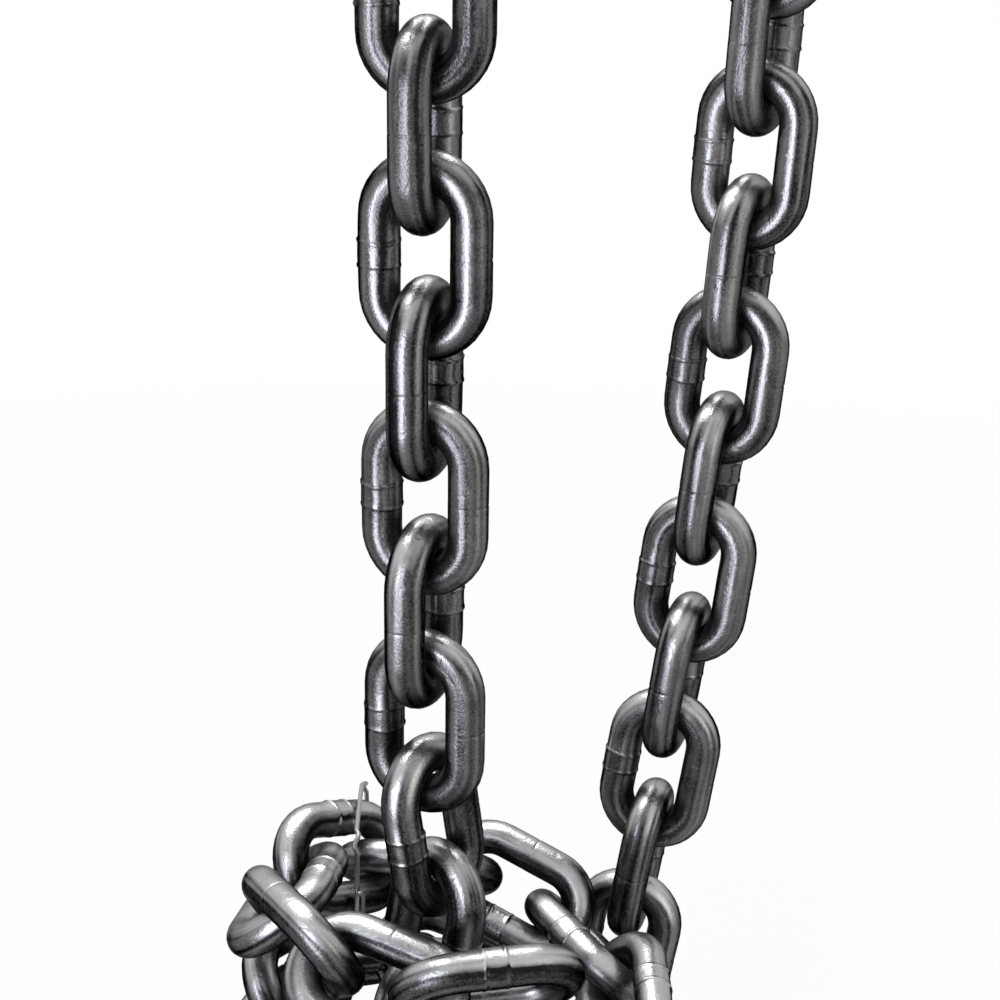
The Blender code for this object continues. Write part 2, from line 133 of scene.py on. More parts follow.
# A pin's chamfer is a twelfth of its thickness. Its end has a centre mark and a flat around it,
# whose edges are given against the pin's radius.
PIN_CHAMFER_PART = 12
PIN_MARK_FLOOR = 0.12
PIN_MARK_EDGE = 0.3
PIN_FLAT_EDGE = 0.84
# Rounding of the pressed sheet's edges, and the angles that tell a flat face from an edge.
SHEET_EDGE = 0.0004
FLAT_ANGLE = radians(1)
EDGE_ANGLE = radians(35)
# Points closer than this are one point, and a link's bend may begin this much early.
SAME_POINT = 1e-6
BEND_MARGIN = 1e-5

# Lamps: name, place, width and height, watts and colour.
LAMPS = (
    ("window_left", (-0.29, -0.50, -0.44), (0.32, 0.60), 5.8, "#EEF2FF"),
    ("fill_right", (0.62, -0.42, -0.40), (0.22, 0.60), 0.8, "#FFF8F0"),
    ("soft_top", (-0.10, 0.42, 0.38), (0.90, 0.60), 12.0, "#FFFFFF"),
)
# Strength of the world as light on matt surfaces, and where it is seen or mirrored.
WORLD_LIGHT = 0.10
WORLD_SEEN = 1.0
WHITE = (1.0, 1.0, 1.0, 1.0)
SENSOR_WIDTH = 36.0
CLIP_NEAR, CLIP_FAR = 0.01, 200.0


def to_linear(code):
    """Linear colour with alpha from an sRGB hex value."""
    parts = [int(code[i:i + 2], 16) / 255 for i in (1, 3, 5)]
    return [c / 12.92 if c <= 0.04045 else ((c + 0.055) / 1.055) ** 2.4 for c in parts] + [1.0]


def length(name, value, description):
    """Property for a length in metres."""
    return FloatProperty(name=name, description=description, default=value, unit="LENGTH",
                         precision=5)


def colour(name, code, description):
    """Property for a colour, from an sRGB hex value."""
    return FloatVectorProperty(name=name, description=description, default=to_linear(code),
                               size=4, subtype="COLOR", min=0.0, max=1.0)


class ChainSizes(bpy.types.PropertyGroup):
    """Sizes of the round links and the binding wire."""

    bar: length("Bar", 0.0130, "Thickness of the chain's bar")
    inside_length: length("Inside length", 0.0390, "Inside length of a chain link, its pitch")
    inside_width: length("Inside width", 0.0166, "Inside width of a chain link")
    weld_length: length("Weld length", 0.0075, "Length of the weld collar along the bar")
    weld_swell: length("Weld swell", 0.0005, "How far the weld collar stands out of the bar")
    master_bar: length("Master bar", 0.022, "Thickness of the master link's bar")
    master_length: length("Master length", 0.160, "Inside length of the master link")
    master_width: length("Master width", 0.090, "Inside width of the master link")
    joining_bar: length("Joining bar", 0.015, "Thickness of the joining link's bar")
    joining_length: length("Joining length", 0.070, "Inside length of the joining link")
    joining_width: length("Joining width", 0.027, "Inside width of the joining link")
    wire: length("Wire", 0.0018, "Thickness of the binding wire")
    wire_corner: length("Wire corner", 0.006, "Radius of the corners of the wire's loop")
    wire_tail: length("Wire tail", 0.016, "How far the ends of the wire stand out")
    wire_wave: length("Wire wave", 0.0006, "How unevenly the wire was bent by hand")


class HookSizes(bpy.types.PropertyGroup):
    """Sizes of the hook, its pins, its latch and its spring."""

    reach: length("Reach", 0.142, "From the load pin to the seat in the bowl")
    bowl_radius: length("Bowl radius", 0.020, "Inside radius of the bowl")
    bowl_body: length("Bowl body", 0.030, "Thickness of the hook at the bowl")
    shank_body: length("Shank body", 0.023, "Thickness of the hook at the neck")
    tip_body: length("Tip body", 0.015, "Thickness of the hook at the tip")
    tip_length: length("Tip length", 0.036, "Straight length of the tip")
    tip_flare: length("Tip flare", 0.002, "How far the tip leans out")
    flatten: FloatProperty(name="Flatten", default=0.86,
                           description="Thickness across the hook against its width")
    slot: length("Slot", 0.015, "Width of the clevis slot")
    ear: length("Ear", 0.010, "Thickness of a clevis ear")
    depth: length("Depth", 0.025, "Depth of the clevis")
    roof: length("Roof", 0.02245, "Height of the slot's roof above the load pin")
    neck: length("Neck", 0.036, "Height of the neck above the load pin")
    ear_wall: length("Ear wall", 0.006, "Wall below the load pin")
    rounding: length("Rounding", 0.002, "Rounding of the clevis")
    pin: length("Load pin", 0.0155, "Thickness of the load pin")
    pin_overhang: length("Pin overhang", 0.0025, "How far the load pin stands out of each ear")
    clearance: length("Clearance", 0.0003, "Gap around a pin")
    latch_level: length("Latch level", 0.078, "Height of the latch pin above the load pin")
    latch_pin: length("Latch pin", 0.006, "Thickness of the latch pin")
    latch_width: length("Latch width", 0.032, "Outside width of the latch")
    latch_overhang: length("Latch pin overhang", 0.0012, "How far the latch pin stands out")
    lug: length("Lug", 0.011, "Thickness of the lug that the latch swings on")
    lug_radius: length("Lug radius", 0.011, "Radius of the faces beside the lug")
    spring: length("Spring wire", 0.0011, "Thickness of the spring's wire")
    spring_pitch: length("Spring pitch", 0.0014, "Distance between turns of the spring")
    spring_leg: length("Spring leg", 0.007, "Length of the spring's straight ends")
    skin: length("Skin", 0.0009, "Size of the squares that the forged skin is made of")


class SteelColours(bpy.types.PropertyGroup):
    """Colours of the finishes."""

    chain_dark: colour("Chain, dark", "#1E1D1E", "Oiled oxide on the chain")
    # Painted reflection and wear: the light end of the chain's long stripes.
    chain_worn_and_sheen: colour("Chain, worn", "#7C7B7C", "Chain where it is rubbed bright")
    # Painted top light: the pale colour of what faces up, taken as dust.
    dust: colour("Dust", "#AEAFAF", "Pale dust on the chain where it faces up")
    # Painted shade: the dark grey of crevices and corners.
    crevice_shade: colour("Grime", "#3A3837", "Oil and dust in the crevices")
    forged: colour("Forging", "#3B3A3A", "Oxide skin of the forged pieces")
    forged_worn: colour("Forging, worn", "#5E5C5A", "Forged pieces where they are rubbed bright")
    turned: colour("Turned pin", "#8F8C88", "Bright turned pins")
    plated: colour("Plated sheet", "#A09C92", "Zinc plating on the latch")
    wire: colour("Wire", "#9A9792", "Annealed wire")
    floor: colour("Floor", "#E9E9E7", "Pale matt floor")


class StageSizes(bpy.types.PropertyGroup):
    """Camera and floor."""

    eye: FloatVectorProperty(name="Eye", description="Place of the camera", subtype="TRANSLATION",
                             default=(0.01641, -0.58404, -0.23845), precision=5)
    turn: FloatVectorProperty(name="Turn", description="Turn of the camera", subtype="EULER",
                              default=(pi / 2 - 0.33662, 0.01485, -0.01244), precision=5)
    lens: FloatProperty(name="Lens", description="Focal length on a 36 mm sensor",
                        default=70.75, unit="CAMERA")
    floor_gap: length("Floor gap", 0.001, "Gap between the lowest link and the floor")
    floor_reach: length("Floor reach", 30.0, "Half the width of the floor")


def node(tree, kind, feeds=(), **settings):
    """Add a shader node, set it up and feed its inputs with links or values."""
    made = tree.nodes.new(kind)
    for name, value in settings.items():
        setattr(made, name, value)
    for key, value in dict(feeds).items():
        if isinstance(value, bpy.types.NodeSocket):
            tree.links.new(value, made.inputs[key])
        else:
            made.inputs[key].default_value = value
    return made


def surface(name):
    """Empty node material with an output."""
    made = bpy.data.materials.new(name)
    made.use_nodes = True
    made.node_tree.nodes.clear()
    return made, made.node_tree, node(made.node_tree, "ShaderNodeOutputMaterial")


def chain_steel(colours):
    """Quenched and tempered alloy steel chain, self-coloured, tumbled and oiled.

    The eye sees dark satin metal with long lighter stripes along the bar, painted reflection with
    some wear, a fine grain that sparkles in the highlights, painted top light on what faces up,
    taken as pale dust, and painted shade where links press on each other.
    """
    made, tree, out = surface("tempered_alloy_steel_oiled")
    # Painted reflection stripes 80 mm long, 3 mm wide, rubbed patches about 6 mm across, knocks 3
    # mm apart.
    band_length, band_width, patch, knock = 0.080, 0.003, 0.006, 0.003
    # Grain of the tumbled skin, 0.7 mm. The real grit is finer than the render shows.
    grit = 0.0007
    place = node(tree, "ShaderNodeTexCoord")
    each = node(tree, "ShaderNodeObjectInfo")
    # Each link has its own stretch of the patterns, up to a metre away.
    own = node(tree, "ShaderNodeVectorMath",
               {0: place.outputs["Object"], 1: each.outputs["Random"]})
    run = node(tree, "ShaderNodeVectorMath",
               {0: place.outputs["UV"], 1: each.outputs["Random"]})
    along = node(tree, "ShaderNodeMapping",
                 {"Vector": run.outputs[0], "Scale": (1 / band_length, 1 / band_width, 1.0)})
    reflection_stripes = node(tree, "ShaderNodeTexNoise",
                 {"Vector": along.outputs[0], "Scale": 1.0, "Detail": 1.0})
    patches = node(tree, "ShaderNodeTexNoise",
                   {"Vector": own.outputs[0], "Scale": 1 / patch, "Detail": 5.0,
                    "Roughness": 0.65})
    grain = node(tree, "ShaderNodeTexNoise",
                 {"Vector": own.outputs[0], "Scale": 1 / grit, "Detail": 2.0})
    # Small knocks lie where this noise peaks.
    knocks = node(tree, "ShaderNodeTexNoise",
                  {"Vector": own.outputs[0], "Scale": 1 / knock, "Detail": 0.0})
    dent = node(tree, "ShaderNodeMapRange",
                {"Value": knocks.outputs["Fac"], "From Min": 0.66, "From Max": 0.78,
                 "To Min": 1.0, "To Max": 0.0})
    # The steel is lighter along painted reflection stripes, with some rubbed patches and grain
    # among them.
    rubs = node(tree, "ShaderNodeMath",
                {0: patches.outputs["Fac"], 1: 0.2, 2: reflection_stripes.outputs["Fac"]},
                operation="MULTIPLY_ADD")
    worn = node(tree, "ShaderNodeMath",
                {0: grain.outputs["Fac"], 1: 0.3, 2: rubs.outputs[0]}, operation="MULTIPLY_ADD")
    worn = node(tree, "ShaderNodeMapRange",
                {"Value": worn.outputs[0], "From Min": 0.58, "From Max": 1.02})
    base = node(tree, "ShaderNodeMix",
                {"Factor": worn.outputs[0], "A": colours.chain_dark, "B": colours.chain_worn_and_sheen},
                data_type="RGBA")
    # Painted top light, taken as pale dust: what faces up turns pale, most where the stripes and
    # patches are light.
    facing = node(tree, "ShaderNodeNewGeometry")
    upward = node(tree, "ShaderNodeSeparateXYZ", {0: facing.outputs["Normal"]})
    lit_top_and_dust = node(tree, "ShaderNodeMath",
                   {0: upward.outputs["Z"], 1: 0.8, 2: rubs.outputs[0]}, operation="MULTIPLY_ADD")
    lit_top_and_dust = node(tree, "ShaderNodeMapRange",
                   {"Value": lit_top_and_dust.outputs[0], "From Min": 0.86, "From Max": 1.25})
    base = node(tree, "ShaderNodeMix",
                {"Factor": lit_top_and_dust.outputs[0], "A": base.outputs["Result"], "B": colours.dust},
                data_type="RGBA")
    # Painted shade lies within 10 mm of another link: a dark grey that is not metal, so it stays
    # grey where the steel mirrors only other links.
    shelter = node(tree, "ShaderNodeAmbientOcclusion", {"Distance": 0.010}, samples=4)
    clear = node(tree, "ShaderNodeMapRange",
                 {"Value": shelter.outputs["AO"], "From Min": 0.05, "From Max": 0.55})
    base = node(tree, "ShaderNodeMix",
                {"Factor": clear.outputs[0], "A": colours.crevice_shade, "B": base.outputs["Result"]},
                data_type="RGBA")
    metal = node(tree, "ShaderNodeMapRange",
                 {"Value": clear.outputs[0], "To Min": 0.4, "To Max": 1.0})
    gloss = node(tree, "ShaderNodeMapRange",
                 {"Value": patches.outputs["Fac"], "From Min": 0.3, "From Max": 0.7,
                  "To Min": 0.20, "To Max": 0.32})
    rough = node(tree, "ShaderNodeMath",
                 {0: grain.outputs["Fac"], 1: 0.10, 2: gloss.outputs[0]}, operation="MULTIPLY_ADD")
    relief = node(tree, "ShaderNodeMath",
                  {0: reflection_stripes.outputs["Fac"], 1: 1.5, 2: grain.outputs["Fac"]},
                  operation="MULTIPLY_ADD")
    relief = node(tree, "ShaderNodeMath",
                  {0: dent.outputs[0], 1: 0.6, 2: relief.outputs[0]}, operation="MULTIPLY_ADD")
    bump = node(tree, "ShaderNodeBump",
                {"Height": relief.outputs[0], "Strength": 0.7, "Distance": 0.00015})
    # The specular tint darkens the bar's reflection towards its outline.
    steel = node(tree, "ShaderNodeBsdfPrincipled",
                 {"Base Color": base.outputs["Result"], "Metallic": metal.outputs[0],
                  "Roughness": rough.outputs[0], "Specular Tint": (0.15, 0.14, 0.14, 1.0),
                  "Normal": bump.outputs[0]})
    tree.links.new(steel.outputs[0], out.inputs["Surface"])
    return made


def forged_steel(colours):
    """Drop forged steel with its oxide skin, wiped with oil.

    The eye sees a darker, duller metal than the chain, with soft scale marks, some rubbed lighter,
    and painted shade in the corners.
    """
    made, tree, out = surface("drop_forged_steel_oxide_skin")
    # Scale marks about 5 mm across. The grit of the blasted skin is drawn coarser, to show.
    mark, grit = 0.005, 0.0008
    place = node(tree, "ShaderNodeTexCoord")
    marks = node(tree, "ShaderNodeTexNoise",
                 {"Vector": place.outputs["Object"], "Scale": 1 / mark, "Detail": 6.0,
                  "Roughness": 0.65})
    grain = node(tree, "ShaderNodeTexNoise",
                 {"Vector": place.outputs["Object"], "Scale": 1 / grit, "Detail": 2.0})
    worn = node(tree, "ShaderNodeMapRange",
                {"Value": marks.outputs["Fac"], "From Min": 0.45, "From Max": 0.72})
    base = node(tree, "ShaderNodeMix",
                {"Factor": worn.outputs[0], "A": colours.forged, "B": colours.forged_worn},
                data_type="RGBA")
    # Painted shade lies within 12 mm of other surfaces, as a dark grey.
    shelter = node(tree, "ShaderNodeAmbientOcclusion", {"Distance": 0.012}, samples=8)
    clear = node(tree, "ShaderNodeMapRange",
                 {"Value": shelter.outputs["AO"], "From Min": 0.25, "From Max": 0.75})
    base = node(tree, "ShaderNodeMix",
                {"Factor": clear.outputs[0], "A": colours.crevice_shade, "B": base.outputs["Result"]},
                data_type="RGBA")
    rough = node(tree, "ShaderNodeMapRange",
                 {"Value": marks.outputs["Fac"], "From Min": 0.3, "From Max": 0.7,
                  "To Min": 0.52, "To Max": 0.36})
    relief = node(tree, "ShaderNodeMath",
                  {0: marks.outputs["Fac"], 1: 1.5, 2: grain.outputs["Fac"]},
                  operation="MULTIPLY_ADD")
    bump = node(tree, "ShaderNodeBump",
                {"Height": relief.outputs[0], "Strength": 0.5, "Distance": 0.0002})
    steel = node(tree, "ShaderNodeBsdfPrincipled",
                 {"Base Color": base.outputs["Result"], "Metallic": 1.0,
                  "Roughness": rough.outputs[0], "Specular Tint": (0.4, 0.4, 0.4, 1.0),
                  "Normal": bump.outputs[0]})
    tree.links.new(steel.outputs[0], out.inputs["Surface"])
    return made


def turned_steel(colours):
    """Bright steel bar, turned on a lathe.

    The eye sees light metal with fine rings around it and a soft glint along it.
    """
    made, tree, out = surface("turned_bright_steel")
    # Tool marks 0.8 mm apart along the pin, because real ones are finer than the render shows,
    # and smears about 4 mm across. The wave texture turns 20 radians over a unit.
    ring, smear_size = 0.0008, 0.004
    radians_per_unit = 20
    place = node(tree, "ShaderNodeTexCoord")
    rings = node(tree, "ShaderNodeTexWave",
                 {"Vector": place.outputs["Object"], "Scale": 2 * pi / (radians_per_unit * ring),
                  "Distortion": 0.4}, bands_direction="X")
    smear = node(tree, "ShaderNodeTexNoise",
                 {"Vector": place.outputs["Object"], "Scale": 1 / smear_size, "Detail": 4.0})
    base = node(tree, "ShaderNodeMix",
                {"Factor": smear.outputs["Fac"], "A": colours.chain_worn_and_sheen, "B": colours.turned},
                data_type="RGBA")
    rough = node(tree, "ShaderNodeMapRange",
                 {"Value": smear.outputs["Fac"], "From Min": 0.3, "From Max": 0.7,
                  "To Min": 0.22, "To Max": 0.4})
    bump = node(tree, "ShaderNodeBump",
                {"Height": rings.outputs["Fac"], "Strength": 0.2, "Distance": 0.00005})
    steel = node(tree, "ShaderNodeBsdfPrincipled",
                 {"Base Color": base.outputs["Result"], "Metallic": 1.0,
                  "Roughness": rough.outputs[0], "Normal": bump.outputs[0]})
    tree.links.new(steel.outputs[0], out.inputs["Surface"])
    return made


def plated_sheet(colours):
    """Pressed sheet steel, zinc plated.

    The eye sees pale grey metal with a faint cloudy spangle and duller patches.
    """
    made, tree, out = surface("zinc_plated_sheet_steel")
    # Spangle about 2.5 mm across and clouds about 6 mm.
    spangle_size, cloud_size = 0.0025, 0.006
    place = node(tree, "ShaderNodeTexCoord")
    spangle = node(tree, "ShaderNodeTexVoronoi",
                   {"Vector": place.outputs["Object"], "Scale": 1 / spangle_size})
    cloud = node(tree, "ShaderNodeTexNoise",
                 {"Vector": place.outputs["Object"], "Scale": 1 / cloud_size, "Detail": 5.0})
    base = node(tree, "ShaderNodeMix",
                {"Factor": cloud.outputs["Fac"], "A": colours.chain_worn_and_sheen, "B": colours.plated},
                data_type="RGBA")
    rough = node(tree, "ShaderNodeMapRange",
                 {"Value": spangle.outputs["Distance"], "From Min": 0.0, "From Max": 0.8,
                  "To Min": 0.3, "To Max": 0.48})
    bump = node(tree, "ShaderNodeBump",
                {"Height": cloud.outputs["Fac"], "Strength": 0.15, "Distance": 0.0001})
    steel = node(tree, "ShaderNodeBsdfPrincipled",
                 {"Base Color": base.outputs["Result"], "Metallic": 1.0,
                  "Roughness": rough.outputs[0], "Normal": bump.outputs[0]})
    tree.links.new(steel.outputs[0], out.inputs["Surface"])
    return made


def annealed_wire(colours):
    """Soft iron wire, annealed and dulled by handling.

    The eye sees a dull light grey thread with small darker rubs.
    """
    made, tree, out = surface("annealed_iron_wire")
    # Rubs about 2 mm long.
    rub = 0.002
    place = node(tree, "ShaderNodeTexCoord")
    rubs = node(tree, "ShaderNodeTexNoise",
                {"Vector": place.outputs["Object"], "Scale": 1 / rub, "Detail": 3.0})
    base = node(tree, "ShaderNodeMix",
                {"Factor": rubs.outputs["Fac"], "A": colours.chain_worn_and_sheen, "B": colours.wire},
                data_type="RGBA")
    rough = node(tree, "ShaderNodeMapRange",
                 {"Value": rubs.outputs["Fac"], "From Min": 0.3, "From Max": 0.7,
                  "To Min": 0.55, "To Max": 0.35})
    bump = node(tree, "ShaderNodeBump",
                {"Height": rubs.outputs["Fac"], "Strength": 0.2, "Distance": 0.0001})
    steel = node(tree, "ShaderNodeBsdfPrincipled",
                 {"Base Color": base.outputs["Result"], "Metallic": 1.0,
                  "Roughness": rough.outputs[0], "Normal": bump.outputs[0]})
    tree.links.new(steel.outputs[0], out.inputs["Surface"])
    return made


def backdrop_rays(tree):
    """One for rays that should meet a plain white background: seen, mirrored or refracted."""
    path = node(tree, "ShaderNodeLightPath")
    seen = node(tree, "ShaderNodeMath",
                {0: path.outputs["Is Camera Ray"], 1: path.outputs["Is Glossy Ray"]},
                operation="MAXIMUM")
    seen = node(tree, "ShaderNodeMath",
                {0: seen.outputs[0], 1: path.outputs["Is Transmission Ray"]}, operation="MAXIMUM")
    return seen.outputs[0]


def pale_floor(colours):
    """Matt white paint on a studio floor.

    The eye sees an even pale ground that whitens into the background and keeps a soft shadow.
    """
    made, tree, out = surface("matt_white_paint")
    # Roller texture 20 mm across, very faint.
    roller_size = 0.020
    place = node(tree, "ShaderNodeTexCoord")
    roller = node(tree, "ShaderNodeTexNoise",
                  {"Vector": place.outputs["Object"], "Scale": 1 / roller_size, "Detail": 2.0})
    bump = node(tree, "ShaderNodeBump",
                {"Height": roller.outputs["Fac"], "Strength": 0.05, "Distance": 0.0005})
    paint = node(tree, "ShaderNodeBsdfDiffuse",
                 {"Color": colours.floor, "Normal": bump.outputs[0]})
    white = node(tree, "ShaderNodeEmission", {"Strength": 1.0})
    # Some paint shows near the object and keeps its shadow. From 1.2 m away all is plain white.
    away = node(tree, "ShaderNodeVectorMath", {0: place.outputs["Object"]}, operation="LENGTH")
    fade = node(tree, "ShaderNodeMapRange",
                {"Value": away.outputs["Value"], "From Min": 0.2, "From Max": 1.2,
                 "To Min": 0.92, "To Max": 1.0})
    share = node(tree, "ShaderNodeMath", {0: backdrop_rays(tree), 1: fade.outputs[0]},
                 operation="MULTIPLY")
    mixed = node(tree, "ShaderNodeMixShader",
                 {0: share.outputs[0], 1: paint.outputs[0], 2: white.outputs[0]})
    tree.links.new(mixed.outputs[0], out.inputs["Surface"])
    return made


def finish(name):
    """Material by its short name, made the first time it is asked for."""
    makers = {"chain": chain_steel, "forged": forged_steel, "turned": turned_steel,
              "plated": plated_sheet, "wire": annealed_wire, "floor": pale_floor}
    known = bpy.context.scene.get("sling_finishes") or {}
    if name not in known:
        made = makers[name](bpy.context.scene.sling_colours)
        known = {**dict(known), name: made.name}
        bpy.context.scene["sling_finishes"] = known
    return bpy.data.materials[known[name]]


def skin(name, rings, closed, distances=None):
    """Smooth mesh from rings of points, closed into a loop or capped at both ends.

    Where distances along the middle line are given, the mesh gets a map of real lengths.
    """
    shape = bmesh.new()
    made = [[shape.verts.new(point) for point in ring] for ring in rings]
    count = len(rings[0])
    steps = len(made) if closed else len(made) - 1
    lengths = shape.loops.layers.uv.new("bar_lengths") if distances else None
    for step in range(steps):
        low, high = made[step], made[(step + 1) % len(made)]
        for i in range(count):
            j = (i + 1) % count
            face = shape.faces.new((low[i], low[j], high[j], high[i]))
            if lengths:
                around = (rings[step][0] - rings[step][count // 2]).length * pi / count
                corners = ((step, i), (step, i + 1), (step + 1, i + 1), (step + 1, i))
                for loop, (ring, side) in zip(face.loops, corners):
                    loop[lengths].uv = (distances[ring], around * side)
    if not closed:
        shape.faces.new(made[0])
        shape.faces.new(made[-1])
    bmesh.ops.recalc_face_normals(shape, faces=shape.faces)
    for face in shape.faces:
        face.smooth = True
    mesh = bpy.data.meshes.new(name)
    shape.to_mesh(mesh)
    shape.free()
    return mesh


def hump(place, width):
    """Smooth bump of height one around zero."""
    return exp(-(place / width) ** 2)


def link_mesh(name, bar, inside_length, inside_width, weld, shape=0):
    """Welded round link in the XZ plane, with its weld on the -X side and a faint crease opposite.

    weld is the length and swell of the collar. shape gives each variant its own unevenness.
    """
    weld_length, weld_swell = weld
    bend = (inside_width + bar) / 2
    straight = inside_length + bar - 2 * bend
    phase = SHAPE_PHASE * shape
    line = []
    for end in (1, -1):
        for step in range(BEND_STEPS + 1):
            angle = pi * step / BEND_STEPS
            outward = Vector((end * cos(angle), 0.0, end * sin(angle)))
            middle = outward * bend + Vector((0.0, 0.0, end * straight / 2))
            line.append((middle, outward, None))
        lines = WELD_LINES if end == 1 else CREASE_LINES
        for step in range(-lines, lines + 1):
            level = -end * step * LINE_SPACING
            middle = Vector((-end * bend, 0.0, level))
            line.append((middle, Vector((-end, 0.0, 0.0)), end * level))
    rings = []
    distances = [0.0]
    for index, (middle, outward, level) in enumerate(line):
        ring = []
        for i in range(AROUND):
            # The map's seam lies on the inside of the link, where it shows least.
            turn = 2 * pi * i / AROUND + pi
            radius = bar / 2 * (1 + WAVER * sin(WAVER_PACE * index + 2 * turn + phase))
            if level is not None and outward.x < 0:
                half = weld_length / 2 + WELD_WANDER * sin(2 * turn + phase)
                collar = 1 / (1 + exp((abs(level) - half) / WELD_FALL))
                bead = hump(abs(level) - half, BEAD_WIDTH)
                uneven = 1 - WELD_UNEVEN + WELD_UNEVEN * sin(3 * turn + phase)
                radius += weld_swell * uneven * (COLLAR_SHARE * collar + BEAD_SHARE * bead)
            elif level is not None:
                facing = max(0.0, cos(turn + CREASE_TURN * sin(phase)))
                radius -= CREASE_DEPTH * facing * hump(level, CREASE_WIDTH)
            across = Vector((0.0, radius * sin(turn), 0.0))
            ring.append(middle + outward * radius * cos(turn) + across)
        rings.append(ring)
        following = line[(index + 1) % len(line)][0]
        distances.append(distances[-1] + (following - middle).length)
    # Lengths run out and back, so that the map meets itself where the bar closes.
    distances = [min(distance, distances[-1] - distance) for distance in distances]
    return skin(name, rings, True, distances)


def tube_mesh(name, path, thickness, around):
    """Smooth round wire or rod along a path of places, each with a factor on the thickness."""
    turns = [2 * pi * i / around for i in range(around)]
    rings = []
    side = None
    for index, (place, factor) in enumerate(path):
        ahead = path[min(index + 1, len(path) - 1)][0] - path[max(index - 1, 0)][0]
        ahead.normalize()
        if side is None:
            side = ahead.orthogonal()
        side = (side - ahead * side.dot(ahead)).normalized()
        other = ahead.cross(side)
        rings.append([
            place + (side * cos(turn) + other * sin(turn)) * thickness / 2 * factor
            for turn in turns
        ])
    return skin(name, rings, False)


def node_points(name):
    """Points of a CAD node, each place once."""
    points = {tuple(round(c, 6) for c in v.co) for v in frame["nodes"][name].data.vertices}
    return np.array(sorted(points))


def link_matrix(name, bend_start=0.0):
    """Place of a link from its CAD node: Z along it, X across it and the weld on the -X side.

    bend_start is the height above the middle where the bends begin. From there on a link is even.
    """
    points = node_points(name)
    middle = points.mean(axis=0)
    _, axes = np.linalg.eigh(np.cov((points - middle).T))
    along, across = axes[:, 2], axes[:, 1]
    local = (points - middle) @ across
    ends = local[np.abs((points - middle) @ along) > bend_start - BEND_MARGIN]
    offset = (ends.min() + ends.max()) / 2
    if offset < 0:
        across, offset = -across, -offset
    middle = middle + across * offset
    x_axis, z_axis = Vector(across), Vector(along)
    matrix = Matrix((x_axis, z_axis.cross(x_axis), z_axis)).transposed().to_4x4()
    matrix.translation = Vector(middle)
    return matrix


def put(name, mesh, matrix, material, body, slot, *nodes):
    """Show a piece in place of its CAD nodes, riding on their body."""
    made = bpy.data.objects.new(name, mesh)
    bpy.context.scene.collection.objects.link(made)
    made.matrix_world = matrix
    if not mesh.materials:
        mesh.materials.append(finish(material))
    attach(made, body)
    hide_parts(*nodes)


def body_of(name):
    """CAD body that a node belongs to."""
    return frame["nodes"][name]["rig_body"]


def hook_matrix():
    """Place of the hook: the load pin's middle, turned so that the shank is on the -X side."""
    low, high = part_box("load_pin")
    middle = (low + high) / 2
    hinge = next(joint for joint in frame["joints"] if joint["child"] == "latch")
    lean = middle - Vector(hinge["pos_m"])
    return Matrix.Translation(middle) @ Matrix.Rotation(atan2(lean.y, lean.x), 4, "Z")


def bowl_turn(sizes):
    """Radius of the hook's middle line around the bowl."""
    return sizes.bowl_radius + sizes.bowl_body / 2


def shank_side(sizes, part):
    """Sideways place of the shank's middle, from the clevis at 0 to the bowl at 1."""
    return -bowl_turn(sizes) * (1 - cos(pi * part)) / 2


def latch_pivot(sizes):
    """Place of the latch pin in the hook's own frame."""
    bowl = sizes.reach - sizes.bowl_radius
    part = (sizes.latch_level - sizes.neck) / (bowl - sizes.neck)
    return Vector((shank_side(sizes, part), 0.0, sizes.latch_level))


def hook_bar(sizes):
    """Bar of the hook from the clevis around the bowl to the rounded tip, with an oval section."""
    bowl = sizes.reach - sizes.bowl_radius
    turn = bowl_turn(sizes)
    line = []
    for step in range(HOOK_STEPS):
        part = step / HOOK_STEPS
        body = sizes.shank_body + (sizes.bowl_body - sizes.shank_body) * part ** 2
        level = sizes.neck + (bowl - sizes.neck) * part
        line.append((Vector((shank_side(sizes, part), 0.0, level)), body))
    for step in range(HOOK_STEPS + 1):
        part = step / HOOK_STEPS
        angle = pi * (1 - part)
        body = sizes.bowl_body + (sizes.tip_body - sizes.bowl_body) * part ** 3 / 2
        line.append((Vector((turn * cos(angle), 0.0, bowl + turn * sin(angle))), body))
    start, body = line[-1]
    slope = Vector((sizes.tip_flare, 0.0, -sizes.tip_length))
    for step in range(1, TIP_STEPS + 1):
        part = step / TIP_STEPS
        line.append((start + slope * part, body + (sizes.tip_body - body) * part))
    end, nose = line[-1]
    for step in range(1, TIP_STEPS):
        angle = pi / 2 * step / TIP_STEPS
        line.append((end + slope.normalized() * nose / 4 * sin(angle), nose * cos(angle)))
    path = [(place, body / sizes.bowl_body) for place, body in line]
    mesh = tube_mesh("hook_bar", path, sizes.bowl_body, 2 * AROUND)
    mesh.transform(Matrix.Diagonal((1.0, sizes.flatten, 1.0, 1.0)))
    return mesh


